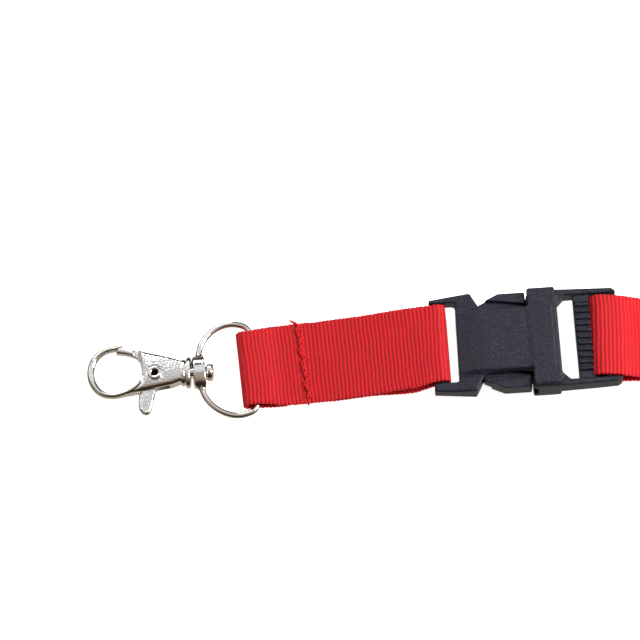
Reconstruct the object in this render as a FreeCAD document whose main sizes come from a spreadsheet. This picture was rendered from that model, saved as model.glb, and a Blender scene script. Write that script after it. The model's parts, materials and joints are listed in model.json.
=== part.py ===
"""Lanyard end: swivel snap hook, D-ring, short strap, side-release buckle and neck strap.

Frame: the origin is the centre of the buckle socket's flat underside.
+X runs along the buckle towards the plug, +Y across it, +Z up. Millimetres.
"""
import FreeCAD
import Part
import Sketcher
import math
import os

DIMENSIONS = [
    # alias, value, meaning
    ("housing_height", 9.4, "buckle socket, full thickness"),
    ("housing_half", 9.7, "socket tunnel, half width"),
    ("housing_full_left", -8.0, "where the tunnel reaches its full thickness"),
    ("collar_left", 6.4, "collar, end towards the hook"),
    ("collar_right", 14.5, "collar, mouth"),
    ("collar_half", 15.5, "collar, half width"),
    ("collar_round", 3.6, "collar, corner radius"),
    ("mouth_half", 13.8, "collar opening, half width"),
    ("mouth_rise", 3.1, "collar opening, half height"),
    ("cavity_left", -8.4, "end of the space between the two plates"),
    ("cavity_rise", 1.9, "half the gap between the two plates"),
    ("spine_inner", 3.0, "guide channel, half width"),
    ("spine_outer", 4.2, "guide channel wall, outer face"),
    ("frame_half", 14.7, "strap frame of the socket, half width"),
    ("frame_rise", 2.1, "socket strap frame, half thickness"),
    ("plug_rise", 2.65, "plug, half thickness"),
    ("frame_left", -21.5, "strap frame, free ends"),
    ("frame_corner", -10.1, "strap frame, outer corner by the prongs"),
    ("notch_left", -7.9, "notch between frame and tunnel"),
    ("notch_half", 10.8, "notch, half width"),
    ("slot_half", 13.0, "strap slots, half length"),
    ("slot_right", -14.5, "socket slot, edge by the tunnel"),
    ("socket_bar_at", -20.0, "socket strap bar, axis"),
    ("socket_bar_radius", 1.2, "socket strap bar, radius"),
    ("prong_tip", -7.8, "prong, tip"),
    ("prong_tip_half", 11.8, "prong tip, outer edge"),
    ("prong_knee", -1.9, "prong, where its outer edge turns straight"),
    ("prong_half", 14.7, "prong, outer edge"),
    ("prong_shoulder", 5.9, "prong, latch shoulder"),
    ("prong_inner", 9.4, "prong lip, inner edge at the tip"),
    ("prong_rise", 1.6, "prong lip and arm, half thickness"),
    ("pad_rise", 2.8, "prong button, half thickness"),
    ("arm_inner", 10.9, "prong arm, inner face"),
    ("arm_outer", 12.7, "prong arm, outer face"),
    ("arm_root", 12.9, "prong arm, bending point"),
    ("flange_left", 13.95, "plug flange, face inside the collar"),
    ("flange_right", 14.9, "plug flange, face by slot one"),
    ("flange_half", 13.4, "plug flange, half width"),
    ("guide_tip", -4.0, "plug guide, tip"),
    ("guide_half", 2.6, "plug guide, half width"),
    ("guide_rise", 1.5, "plug guide, half thickness"),
    ("rail_left", 14.6, "plug rails, end at the collar"),
    ("rail_start_half", 15.05, "plug rails, outer face at the collar"),
    ("rail_bend", 31.0, "plug rails, start of the end rounding"),
    ("rail_bend_half", 14.45, "plug rails, outer face at the rounding"),
    ("rail_right", 32.2, "plug rails, free ends"),
    ("gusset", 2.3, "plug slot one, corner chamfer"),
    ("grip_left", 19.75, "ribbed bar, left edge"),
    ("grip_right", 24.4, "ribbed bar, right edge"),
    ("grip_rise", 1.9, "ribbed bar, half thickness between its ribs"),
    ("rib_pitch", 1.98, "ribbed bar, rib spacing"),
    ("rib_radius", 0.75, "ribbed bar, rib radius"),
    ("plug_bar_at", 28.4, "plug strap bar, axis"),
    ("plug_bar_radius", 1.6, "plug strap bar, radius"),
    ("strap_half", 12.3, "webbing, half width"),
    ("webbing", 1.1, "webbing, thickness"),
    ("lower_yaw", 2.3, "lower strap, angle to the buckle"),
    ("lower_shift", 0.3, "lower strap, sideways offset in the socket"),
    ("lower_length", 54.05, "lower strap, bar axis to bar axis"),
    ("lower_lift", 0.3, "lower strap, underside of its flat run"),
    ("lower_flat_left", -46.0, "lower strap, flat run, hook end"),
    ("lower_flat_right", -18.0, "lower strap, flat run, buckle end"),
    ("lower_seam", -39.6, "lower strap, stitched seam"),
    ("socket_loop_gap", 0.55, "play between the socket bar and its webbing"),
    ("ring_loop_gap", 0.25, "play between the D-ring bar and its webbing"),
    ("fold_reach", 2.0, "lower strap, D-ring bar to the centre of its loose fold"),
    ("relief_half", 11.1, "lower strap, half width left between the ring's corners"),
    ("relief_reach", 2.4, "lower strap, corner relief beyond the D-ring bar"),
    ("plug_loop_gap", 0.6, "play between the plug bar and its webbing"),
    ("stitch_length", 2.0, "one stitch, length"),
    ("stitch_pitch", 2.65, "one stitch to the next"),
    ("stitch_width", 0.4, "thread, width"),
    ("stitch_rise", 0.25, "thread, height above the webbing"),
    ("ring_bar_height", 2.4, "D-ring bar, height of its axis"),
    ("ring_wire", 0.9, "D-ring wire, radius"),
    ("ring_depth", 15.8, "D-ring, bar to bow, centre lines"),
    ("ring_half", 14.15, "D-ring, half width, centre line"),
    ("ring_corner", 1.6, "D-ring, corner radius at the bar"),
    ("ring_widest", 5.7, "D-ring, bar to where the bow starts"),
    ("ring_side", 8.0, "D-ring, bow radius at the sides"),
    ("boss_height", 3.5, "swivel boss, height of its centre"),
    ("boss_half_length", 1.6, "swivel boss, half length"),
    ("boss_half", 4.8, "swivel boss, half width"),
    ("boss_rise", 3.0, "swivel boss and hook collar, half thickness"),
    ("boss_round", 2.6, "swivel boss and hook collar, corner radius"),
    ("boss_bore", 2.05, "swivel boss, bore radius"),
    ("swivel_shank", 1.6, "swivel rivet, shank radius"),
    ("swivel_head", 2.43, "swivel rivet, head radius"),
    ("swivel_head_left", 2.15, "swivel rivet, head face"),
    ("swivel_head_right", 3.95, "swivel rivet, head end"),
    ("swivel_end", -5.6, "swivel rivet, end of the shank inside the hook"),
    ("hook_yaw", -4.2, "hook, angle to the buckle"),
    ("hook_pitch", 3.85, "hook, slope down to its ring"),
    ("hook_collar_right", -2.6, "hook collar, swivel side"),
    ("hook_collar_left", -4.9, "hook collar, hook side"),
    ("hook_collar_half", 4.6, "hook collar, half width"),
    ("cheek_rise", 2.1, "hook cheeks, half thickness over both"),
    ("lever_slot_rise", 1.05, "lever slot, half height"),
    ("lever_slot_right", -8.4, "lever slot, closed end"),
    ("lever_slot_left", -17.75, "lever slot, end by the hook ring"),
    ("hook_ring_at", -24.7, "hook ring, centre along the hook"),
    ("hook_ring_side", 0.55, "hook ring, centre across the hook"),
    ("hook_ring_radius", 7.95, "hook ring, outer radius"),
    ("hook_ring_rise", 1.25, "hook ring, half thickness"),
    ("eye_at", -24.2, "hook opening, centre of its round end, along the hook"),
    ("eye_side", 0.2, "hook opening, centre of its round end, across the hook"),
    ("eye_radius", 6.3, "hook opening, radius of its round end"),
    ("eye_neck_at", -20.5, "hook opening, centre of its narrow end, along the hook"),
    ("eye_neck_side", -0.1, "hook opening, centre of its narrow end, across the hook"),
    ("eye_neck_radius", 5.0, "hook opening, radius of its narrow end"),
    ("pivot_at", -12.7, "lever pivot, along the hook"),
    ("pivot_side", -0.8, "lever pivot, across the hook"),
    ("pivot_shank", 1.4, "lever rivet, shank radius"),
    ("pivot_bore", 1.45, "lever, bore radius"),
    ("pivot_head", 2.05, "lever rivet, head radius"),
    ("pivot_head_rise", 0.4, "lever rivet, head thickness"),
    ("pivot_hole", 0.9, "lever rivet, through hole radius"),
    ("lever_rise", 0.85, "lever, half thickness"),
    ("lever_hub", 3.4, "lever, hub radius"),
    ("lever_reach", 13.5, "lever, pivot to the end of the gate"),
    ("nose_gap", 0.2, "gap between the gate and the hook's nose"),
    ("gate_side", 3.2, "gate opening in the hook ring, edge towards the middle"),
    ("spring_radius", 1.85, "lever spring, mean radius"),
    ("spring_wire", 0.16, "lever spring, wire radius"),
    ("spring_pitch", 0.34, "lever spring, coil spacing"),
    ("spring_turns", 2.25, "lever spring, turns"),
    ("spring_pocket", 2.15, "spring pocket in the lever, radius"),
    ("pocket_floor", -0.25, "spring pocket, floor"),
    ("neck_yaw", -2.5, "neck strap, angle to the buckle"),
    ("neck_shift", -0.2, "neck strap, sideways offset in the plug"),
    ("neck_flat", 16.0, "neck strap, start of its flat run"),
    ("hank_left", 22.0, "folded hank, near end"),
    ("hank_length", 106.0, "folded hank, length of its runs"),
    ("hank_top", 13.0, "folded hank, top above the table"),
    ("hank_lift", 0.9, "folded hank, underside above the table"),
    ("tie_at", 75.0, "hank tie, centre"),
    ("tie_width", 8.0, "hank tie, width"),
    ("tie_thickness", 0.8, "hank tie, thickness"),
    ("neck_seam", 18.6, "neck strap, stitched seam"),
]

STITCHES_PER_ROW = 9
STITCH_WANDER = 0.5
RIB_COUNT = 11
OVERLAP = 0.1
CLEAR = 1

# Plan outlines of the free-form castings, (x, y) in the hook's own frame.
CHEEK = [("hook_collar_left + 0.5", 3.0), (-8.5, 4.3), (-12.5, 5.3), (-15.5, 6.3), (-18.0, 7.0),
         (-18.2, 4.3), (-18.2, -3.0), (-20.6, -5.2), (-20.6, -6.6), (-17.1, -5.9), (-12.5, -5.0),
         (-8.5, -4.2), ("hook_collar_left + 0.5", -3.0)]
GATE_ARM = [(-11.0, 2.0), (-14.0, 5.2), (-17.8, 6.8), (-21.2, 7.85), (-24.5, 8.7), (-25.0, 6.3),
            (-18.7, 5.1), (-16.9, 3.3), (-15.8, 0.6)]
THUMB_TAB = [(-15.6, -2.0), (-16.6, -5.2), (-17.35, -6.8), (-17.5, -9.8), (-16.9, -12.2),
             (-15.3, -13.0), (-13.9, -12.6), (-13.0, -8.8), (-12.6, -6.1), (-10.4, -3.0)]

doc = FreeCAD.newDocument("lanyard")
sheet = doc.addObject("Spreadsheet::Sheet", "Dims")
for row, (alias, value, meaning) in enumerate(DIMENSIONS, start=1):
    sheet.set(f"A{row}", meaning)
    sheet.set(f"B{row}", str(value))
    sheet.setAlias(f"B{row}", alias)
doc.recompute()

ALIASES = sorted((alias for alias, _, _ in DIMENSIONS), key=len, reverse=True)
MID = "housing_height / 2"
RING_SLOPE = "asin( ( boss_height - ring_bar_height ) / ring_depth )"


def bound(expression):
    """The expression with each sheet alias written as Dims.alias."""
    words = []
    for word in str(expression).replace("(", "( ").replace(")", " )").split():
        sign = "-" if word.startswith("-") and word[1:] in ALIASES else ""
        name = word[len(sign):]
        words.append(sign + ("Dims." + name if name in ALIASES else name))
    return " ".join(words)


def number(expression):
    """The present value of an expression in sheet aliases."""
    return float(sheet.evalExpression(bound(expression)))


def bind(thing, **sizes):
    """Bind properties to expressions; a double underscore stands for a dot."""
    for name, expression in sizes.items():
        thing.setExpression(name.replace("__", "."), bound(expression))
    return thing


def less(a, b):
    """The expression a - b."""
    return f"( {a} ) - ( {b} )"


def negative(a):
    """The expression -a."""
    return f"0 - ( {a} )"


def place(thing, x=0, y=0, z=0, yaw=0, pitch=0, roll=0):
    """Bind a Placement: a position, then yaw about Z, pitch about Y, roll about X."""
    spot = f"create( <<vector>> ; {bound(x)} ; {bound(y)} ; {bound(z)} )"
    turn = f"create( <<rotation>> ; {bound(yaw)} ; {bound(pitch)} ; {bound(roll)} )"
    thing.setExpression("Placement", f"create( <<placement>> ; {spot} ; {turn} )")
    return thing


def box(name, x, y, z):
    """A box from its (low, high) pairs along the three axes."""
    thing = doc.addObject("Part::Box", name)
    bind(thing, Length=less(x[1], x[0]), Width=less(y[1], y[0]), Height=less(z[1], z[0]))
    bind(thing, Placement__Base__x=x[0], Placement__Base__y=y[0], Placement__Base__z=z[0])
    return thing


def upright(name, x, y, low, high, radius):
    """A cylinder along Z."""
    thing = doc.addObject("Part::Cylinder", name)
    bind(thing, Radius=radius, Height=less(high, low))
    return place(thing, x, y, low)


def lengthwise(name, low, high, y, z, radius):
    """A cylinder along X."""
    thing = doc.addObject("Part::Cylinder", name)
    bind(thing, Radius=radius, Height=less(high, low))
    return place(thing, low, y, z, pitch=90)


def crosswise(name, x, z, half, radius):
    """A cylinder along Y, centred on the XZ plane."""
    thing = doc.addObject("Part::Cylinder", name)
    bind(thing, Radius=radius, Height=f"2 * ( {half} )")
    return place(thing, x, half, z, roll=90)


def outline(name, corners):
    """A closed sketch whose corners are pairs of expressions."""
    sketch = doc.addObject("Sketcher::SketchObject", name + "_sketch")
    points = [FreeCAD.Vector(number(x), number(y), 0) for x, y in corners]
    for index, point in enumerate(points):
        sketch.addGeometry(Part.LineSegment(point, points[(index + 1) % len(points)]))
    for index in range(len(points)):
        following = (index + 1) % len(points)
        sketch.addConstraint(Sketcher.Constraint("Coincident", index, 2, following, 1))
    for index, corner in enumerate(corners):
        for kind, size in zip(("DistanceX", "DistanceY"), corner):
            rule = Sketcher.Constraint(kind, -1, 1, index, 1, number(size))
            place_in_list = sketch.addConstraint(rule)
            sketch.setExpression(f"Constraints[{place_in_list}]", bound(size))
    return sketch


def plate(name, corners, low, high):
    """A plan outline extruded along Z from low to high."""
    thing = doc.addObject("Part::Extrusion", name)
    thing.Base = outline(name, corners)
    thing.DirMode = "Custom"
    thing.Dir = FreeCAD.Vector(0, 0, 1)
    thing.Solid = True
    bind(thing, LengthFwd=less(high, low), Placement__Base__z=low)
    return thing


def profile(name, corners, half):
    """A side outline of (x, z) corners extruded along Y, centred on the XZ plane."""
    thing = doc.addObject("Part::Extrusion", name)
    thing.Base = outline(name, corners)
    thing.DirMode = "Custom"
    thing.Dir = FreeCAD.Vector(0, 0, 1)
    thing.Solid = True
    bind(thing, LengthFwd=f"2 * ( {half} )")
    return place(thing, 0, half, 0, roll=90)


def rounded_block(name, x, half, rise, radius):
    """A block centred on the X axis whose four long edges are rounded."""
    block = box(name + "_block", x, (negative(half), half), (negative(rise), rise))
    doc.recompute()
    thing = doc.addObject("Part::Fillet", name)
    thing.Base = block
    long_edges = []
    for index, edge in enumerate(block.Shape.Edges, start=1):
        if abs(edge.tangentAt(edge.FirstParameter).x) > 0.99:
            long_edges.append((index, number(radius), number(radius)))
    thing.Edges = long_edges
    return thing


def fuse(name, pieces):
    """The union of several pieces."""
    thing = doc.addObject("Part::MultiFuse", name)
    thing.Shapes = pieces
    thing.Refine = True
    return thing


def cut(name, base, tools):
    """The base less one tool, or less the fusion of several."""
    thing = doc.addObject("Part::Cut", name)
    thing.Base = base
    thing.Tool = tools[0] if len(tools) == 1 else fuse(name + "_tools", tools)
    thing.Refine = True
    return thing


def mirrored(name, source):
    """The source reflected in the XZ plane."""
    thing = doc.addObject("Part::Mirroring", name)
    thing.Source = source
    thing.Normal = FreeCAD.Vector(0, 1, 0)
    return thing


def both_sides(corners):
    """A plan half outline from -Y to the middle, joined to its own reflection."""
    return corners + [(x, negative(y)) for x, y in reversed(corners)]


def around(centre, half):
    """The (low, high) pair about a centre."""
    return less(centre, half), f"( {centre} ) + ( {half} )"


SPREAD = (negative("mouth_half"), "mouth_half")


# ---------------------------------------------------------------- buckle socket
def buckle_socket():
    """Collar, two plates over the prongs, and the open frame with its strap bar."""
    frame = plate("socket_frame", both_sides([
        ("frame_left", "-frame_half"), ("frame_corner", "-frame_half"),
        ("notch_left", "-notch_half"), ("notch_left + 1", "-housing_half")]),
        less(MID, "frame_rise"), f"{MID} + frame_rise")
    tunnel = profile("socket_tunnel", [
        ("slot_right", less(MID, "frame_rise")), ("housing_full_left", 0),
        ("collar_right - 1", 0), ("collar_right - 1", "housing_height"),
        ("housing_full_left", "housing_height"), ("slot_right", f"{MID} + frame_rise")],
        "housing_half")
    collar = rounded_block("socket_collar", ("collar_left", "collar_right"),
                           "collar_half", MID, "collar_round")
    place(collar, 0, 0, MID)
    slot = box("socket_slot", ("frame_left - 1", "slot_right"),
               ("-slot_half", "slot_half"), (0, "housing_height"))
    mouth = box("socket_mouth", ("collar_left - 0.01", "collar_right + 1"), SPREAD,
                around(MID, "mouth_rise"))
    gap = box("socket_gap", ("cavity_left", "collar_left + 0.1"),
              (negative("collar_half"), "collar_half"), around(MID, "cavity_rise"))
    shell = cut("socket_shell", fuse("socket_blank", [frame, tunnel, collar]),
                [slot, mouth, gap])
    bar = crosswise("socket_bar", "socket_bar_at", MID, "slot_half + 0.5",
                    "socket_bar_radius")
    walls = []
    for side, low, high in (("near", "-spine_outer", "-spine_inner"),
                            ("far", "spine_inner", "spine_outer")):
        walls.append(box("socket_wall_" + side, ("cavity_left - 0.2", "collar_left"),
                         (low, high), around(MID, "cavity_rise + 0.1")))
    return fuse("buckle_socket", [shell, bar] + walls)


# ---------------------------------------------------------------- buckle plug
def buckle_plug():
    """Flange and guide inside the collar, two rails, ribbed bar and strap bar."""
    thick = around(MID, "plug_rise")
    flange = box("plug_flange", ("flange_left", "flange_right"),
                 ("-flange_half", "flange_half"), thick)
    guide = box("plug_guide", ("guide_tip", "flange_left + 0.1"),
                ("-guide_half", "guide_half"), around(MID, "guide_rise"))
    grip = box("plug_grip", ("grip_left", "grip_right"), ("-slot_half", "slot_half"),
               around(MID, "grip_rise"))
    bar = crosswise("plug_bar", "plug_bar_at", MID, "slot_half + 0.5", "plug_bar_radius")
    parts = [flange, guide, grip, bar]
    for index in range(RIB_COUNT):
        step = index - (RIB_COUNT - 1) / 2
        for side, height in (("top", f"{MID} + grip_rise"), ("under", f"{MID} - grip_rise")):
            parts.append(lengthwise(f"plug_rib_{side}_{index}", "grip_left", "grip_right",
                                    f"rib_pitch * {step}", height, "rib_radius"))
    far_rail = plate("plug_rail_far", [
        ("rail_left", "slot_half"), ("rail_left", "rail_start_half"),
        ("rail_bend", "rail_bend_half"), ("rail_right", "slot_half + 0.2"),
        ("rail_right", "slot_half")], *thick)
    far_gusset = plate("plug_gusset_far", [
        ("rail_left", "slot_half - gusset"), ("flange_right", "slot_half - gusset"),
        ("flange_right + gusset", "slot_half"), ("flange_right + gusset", "slot_half + 0.5"),
        ("rail_left", "slot_half + 0.5")], *thick)
    for piece in (far_rail, far_gusset):
        parts += [piece, mirrored(piece.Name.replace("far", "near"), piece)]
    return fuse("buckle_plug", parts)


def far_prong():
    """Flexible arm, thin lip that slides between the plates, and raised button."""
    lip = plate("prong_lip", [
        ("arm_root", "arm_inner"), ("prong_shoulder", "arm_inner"),
        ("prong_tip", "prong_inner"), ("prong_tip", "prong_tip_half"),
        ("prong_knee", "prong_half"), ("prong_shoulder", "prong_half"),
        ("prong_shoulder", "arm_outer"), ("arm_root", "arm_outer")],
        *around(MID, "prong_rise"))
    pad = plate("prong_pad", [
        ("prong_shoulder - 0.2", "arm_inner + 0.1"), ("prong_knee + 1.6", "arm_inner + 1.0"),
        ("prong_tip + 2.6", "prong_tip_half + 0.8"), ("prong_tip + 2.6", "prong_tip_half + 1.25"),
        ("prong_knee", "prong_half"), ("prong_shoulder - 0.2", "prong_half")],
        *around(MID, "pad_rise"))
    root = upright("prong_root", "arm_root", "( arm_inner + arm_outer ) / 2",
                   *around(MID, "prong_rise"), "( arm_outer - arm_inner ) / 2")
    return fuse("far_prong", [lip, pad, root])


# ---------------------------------------------------------------- straps
def stitch_rows(name, seam, heights, centre_line):
    """Rows of short stitches across the webbing; each height is a (low, high) pair."""
    stitches = []
    for row_name, height in heights:
        for index in range(STITCHES_PER_ROW):
            step = index - (STITCHES_PER_ROW - 1) / 2
            wander = STITCH_WANDER * math.sin(1.7 * index)
            stitches.append(box(
                f"{name}_{row_name}_{index}",
                around(f"( {seam} ) + {wander:.2f}", "stitch_width / 2"),
                around(f"{centre_line} + stitch_pitch * {step}", "stitch_length / 2"), height))
    thing = doc.addObject("Part::Compound", name)
    thing.Links = stitches
    return thing


def lower_strap():
    """Sewn loop of webbing round the socket bar and the D-ring bar, in its own frame."""
    right_hole = "socket_bar_radius + socket_loop_gap"
    right_loop = right_hole + " + webbing"
    left_hole = "ring_wire + ring_loop_gap"
    left_loop = left_hole + " + webbing"
    left_axis = less("ring_bar_height", MID)
    bed = less("lower_lift", MID)
    flat_top = f"( {bed} ) + 2 * webbing"
    fold_axis = "0 - lower_length - fold_reach"
    body = profile("lower_strap_run", [
        (0, right_loop), ("lower_flat_right", flat_top), ("lower_flat_left", flat_top),
        ("-lower_length", f"( {left_axis} ) + ( {left_loop} )"),
        (fold_axis, f"( {left_axis} ) + ( {left_loop} )"),
        (fold_axis, f"( {left_axis} ) - ( {left_loop} )"),
        ("-lower_length", f"( {left_axis} ) - ( {left_loop} )"), ("lower_flat_left", bed),
        ("lower_flat_right + 10", bed), (0, negative(right_loop))], "strap_half")
    right_end = crosswise("lower_strap_right_fold", 0, 0, "strap_half", right_loop)
    left_end = crosswise("lower_strap_left_fold", fold_axis, left_axis, "strap_half",
                         left_loop)
    voids = [crosswise("lower_strap_right_void", 0, 0, "strap_half + 1", right_hole)]
    for name, axis in (("bar", "-lower_length"), ("fold", fold_axis)):
        voids.append(crosswise(f"lower_strap_{name}_void", axis, left_axis, "strap_half + 1",
                               left_hole))
    voids.append(box("lower_strap_slack_void", (fold_axis, "-lower_length"),
                     ("-strap_half - 1", "strap_half + 1"), around(left_axis, left_hole)))
    for side, low, high in (("near", "-strap_half - 1", "-relief_half"),
                            ("far", "relief_half", "strap_half + 1")):
        voids.append(box(f"lower_strap_{side}_relief",
                         (f"{fold_axis} - strap_half", "relief_reach - lower_length"),
                         (low, high), around(left_axis, "strap_half")))
    strap = cut("lower_strap", fuse("lower_strap_blank", [body, right_end, left_end]), voids)
    thread = stitch_rows("lower_strap_stitching", "lower_seam", (
        ("top", (flat_top, f"{flat_top} + stitch_rise")),
        ("under", (f"( {bed} ) - stitch_rise", bed))), "0")
    for piece in (strap, thread):
        place(piece, "socket_bar_at", "lower_shift", MID, yaw="lower_yaw")
    return strap, thread


def neck_strap():
    """Loop round the plug bar, then the doubled strap folded into a tied hank."""
    hole = "plug_bar_radius + plug_loop_gap"
    loop = hole + " + webbing"
    floor = negative(MID)
    bed = f"( {floor} ) + hank_lift"
    flat_top = f"( {bed} ) + 2 * webbing"
    hank_high = f"( {floor} ) + hank_top"
    hank_radius = f"( ( {hank_high} ) - ( {bed} ) ) / 2"
    hank_axis = f"( ( {hank_high} ) + ( {bed} ) ) / 2"
    run_end = f"hank_left + ( {hank_radius} )"
    run = profile("neck_strap_run", [
        (0, loop), ("neck_flat", flat_top), (run_end, flat_top),
        (run_end, bed), ("neck_flat / 2", bed), (0, negative(loop))], "strap_half")
    fold = crosswise("neck_strap_fold", 0, 0, "strap_half", loop)
    hank_end = f"hank_left + hank_length - ( {hank_radius} )"
    hank = box("neck_strap_hank", (run_end, hank_end), ("-strap_half", "strap_half"),
               (bed, hank_high))
    near_end = crosswise("neck_strap_near_end", run_end, hank_axis, "strap_half", hank_radius)
    far_end = crosswise("neck_strap_far_end", hank_end, hank_axis, "strap_half", hank_radius)
    void = crosswise("neck_strap_void", 0, 0, "strap_half + 1", hole)
    strap = cut("neck_strap", fuse("neck_strap_blank", [run, fold, hank, near_end, far_end]),
                [void])
    thread = stitch_rows("neck_strap_stitching", "neck_seam", (
        ("top", (flat_top, f"{flat_top} + stitch_rise")),
        ("under", (f"( {bed} ) - stitch_rise", bed))), "0")
    tie_x = around("tie_at", "tie_width / 2")
    band = box("hank_tie_band", tie_x,
               around(0, "strap_half + tie_thickness"),
               (f"( {bed} ) - tie_thickness", f"( {hank_high} ) + tie_thickness"))
    room = box("hank_tie_room", (less(tie_x[0], 1), f"( {tie_x[1]} ) + 1"),
               ("-strap_half", "strap_half"), (bed, hank_high))
    tie = cut("hank_tie", band, [room])
    for piece in (strap, thread, tie):
        place(piece, "plug_bar_at", "neck_shift", MID, yaw="neck_yaw")
    return strap, thread, tie


# ---------------------------------------------------------------- D-ring
def d_ring():
    """Round wire bent to a D and cast with the oval boss that carries the swivel."""
    depth = number("ring_depth")
    half = number("ring_half")
    corner = number("ring_corner")
    side = number("ring_side")
    widest = number("ring_widest")
    rise = depth - widest
    side_y = half - side
    bow = (rise ** 2 + side_y ** 2 - side ** 2) / (2 * (rise - side))
    bow_centre = bow - depth
    corner_y = side_y + math.sqrt((side - corner) ** 2 - (widest - corner) ** 2)
    corner_turn = math.atan2(corner_y - side_y, widest - corner)
    lean = math.atan2(side_y, -widest - bow_centre)

    def point(centre_x, centre_y, radius, angle):
        return (centre_x + radius * math.cos(angle), centre_y + radius * math.sin(angle))

    bar_end = (0, corner_y)
    corner_middle = point(-corner, corner_y, corner, corner_turn / 2)
    corner_end = point(-widest, side_y, side, corner_turn)
    side_middle = point(-widest, side_y, side, (corner_turn + lean) / 2)
    side_end = point(bow_centre, 0, bow, lean)

    def far(spot):
        return FreeCAD.Vector(spot[0], spot[1], 0)

    def near(spot):
        return FreeCAD.Vector(spot[0], -spot[1], 0)

    edges = [Part.LineSegment(near(bar_end), far(bar_end)),
             Part.Arc(far(bar_end), far(corner_middle), far(corner_end)),
             Part.Arc(far(corner_end), far(side_middle), far(side_end)),
             Part.Arc(far(side_end), far((-depth, 0)), near(side_end)),
             Part.Arc(near(side_end), near(side_middle), near(corner_end)),
             Part.Arc(near(corner_end), near(corner_middle), near(bar_end))]
    path = Part.Wire([edge.toShape() for edge in edges])
    section = Part.Wire([Part.Circle(FreeCAD.Vector(0, -corner_y, 0),
                                     FreeCAD.Vector(0, 1, 0),
                                     number("ring_wire")).toShape()])
    wire = doc.addObject("Part::Feature", "ring_wire_bow")
    wire.Shape = path.makePipeShell([section], True, False)
    boss = rounded_block("ring_boss", around("0 - ring_depth", "boss_half_length"),
                         "boss_half", "boss_rise", "boss_round")
    bore = lengthwise("ring_bore", "0 - ring_depth - boss_half_length - 1",
                      "0 - ring_depth + boss_half_length + 1", 0, 0, "boss_bore")
    ring = cut("d_ring", fuse("ring_blank", [wire, boss]), [bore])
    place(ring, "socket_bar_at - lower_length * cos( lower_yaw )",
          "lower_shift - lower_length * sin( lower_yaw )", "ring_bar_height",
          yaw="lower_yaw", pitch=RING_SLOPE)
    return ring


# ---------------------------------------------------------------- snap hook
def hook_body():
    """Cast hook: collar, two cheeks with the lever slot between them, and the ring."""
    collar = rounded_block("hook_collar", ("hook_collar_left", "hook_collar_right"),
                           "hook_collar_half", "boss_rise", "boss_round")
    cheeks = plate("hook_cheeks", CHEEK, "-cheek_rise", "cheek_rise")
    ring = upright("hook_ring", "hook_ring_at", "hook_ring_side", "-hook_ring_rise",
                   "hook_ring_rise", "hook_ring_radius")
    above = f"cheek_rise + {CLEAR}"
    below = f"-cheek_rise - {CLEAR}"
    eye = upright("hook_eye", "eye_at", "eye_side", below, above, "eye_radius")
    eye_neck = upright("hook_eye_neck", "eye_neck_at", "eye_neck_side", below, above,
                       "eye_neck_radius")
    slot = box("hook_lever_slot", ("lever_slot_left", "lever_slot_right"),
               around(0, f"hook_ring_radius + {CLEAR}"), ("-lever_slot_rise", "lever_slot_rise"))
    gate_way = upright("hook_gate_way", "pivot_at", "pivot_side", "-hook_ring_rise - 0.5",
                       "hook_ring_rise + 0.5", "lever_reach + nose_gap")
    far_left = box("hook_far_left", ("pivot_at - lever_reach - 1", "lever_slot_left + 0.05"),
                   ("gate_side", "lever_reach"), (below, above))
    gate_gap = doc.addObject("Part::MultiCommon", "hook_gate_gap")
    gate_gap.Shapes = [gate_way, far_left]
    pivot = upright("hook_pivot_hole", "pivot_at", "pivot_side", below, above, "pivot_shank")
    shank = lengthwise("hook_shank_hole", "swivel_end", f"hook_collar_right + {CLEAR}", 0, 0,
                       "swivel_shank")
    return cut("hook_body", fuse("hook_blank", [collar, cheeks, ring]),
               [eye, eye_neck, slot, gate_gap, pivot, shank])


def gate_lever():
    """Gate arm, hub and thumb tab in one sheet, with a pocket for the spring."""
    rise = ("-lever_rise", "lever_rise")
    arm = plate("lever_arm", GATE_ARM, *rise)
    tab = plate("lever_tab", THUMB_TAB, *rise)
    hub = upright("lever_hub", "pivot_at", "pivot_side", *rise, "lever_hub")
    reach = upright("lever_reach_disc", "pivot_at", "pivot_side", *rise, "lever_reach")
    trimmed = doc.addObject("Part::MultiCommon", "lever_arm_trimmed")
    trimmed.Shapes = [arm, reach]
    bore = upright("lever_bore", "pivot_at", "pivot_side", f"-lever_rise - {CLEAR}",
                   f"lever_rise + {CLEAR}", "pivot_bore")
    pocket = upright("lever_pocket", "pivot_at", "pivot_side", "pocket_floor",
                     f"lever_rise + {CLEAR}", "spring_pocket")
    return cut("gate_lever", fuse("lever_blank", [trimmed, tab, hub]), [bore, pocket])


def gate_rivet():
    """Tubular rivet through both cheeks and the lever."""
    shank = upright("rivet_shank", "pivot_at", "pivot_side", "-cheek_rise - pivot_head_rise",
                    "cheek_rise + pivot_head_rise", "pivot_shank")
    top = upright("rivet_top", "pivot_at", "pivot_side", "cheek_rise",
                  "cheek_rise + pivot_head_rise", "pivot_head")
    under = upright("rivet_under", "pivot_at", "pivot_side", "-cheek_rise - pivot_head_rise",
                    "-cheek_rise", "pivot_head")
    hole = upright("rivet_hole", "pivot_at", "pivot_side", f"-cheek_rise - {CLEAR}",
                   f"cheek_rise + {CLEAR}", "pivot_hole")
    return cut("gate_rivet", fuse("rivet_blank", [shank, top, under]), [hole])


def gate_spring():
    """Small torsion spring coiled round the rivet, inside the lever's pocket."""
    spine = doc.addObject("Part::Helix", "spring_spine")
    bind(spine, Pitch="spring_pitch", Height="spring_pitch * spring_turns",
         Radius="spring_radius")
    section = doc.addObject("Part::Circle", "spring_section")
    bind(section, Radius="spring_wire")
    place(section, "spring_radius", 0, 0, roll=90)
    doc.recompute()
    thing = doc.addObject("Part::Sweep", "gate_spring")
    thing.Sections = [section]
    thing.Spine = (spine, [])
    thing.Solid = True
    thing.Frenet = True
    return thing


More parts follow.
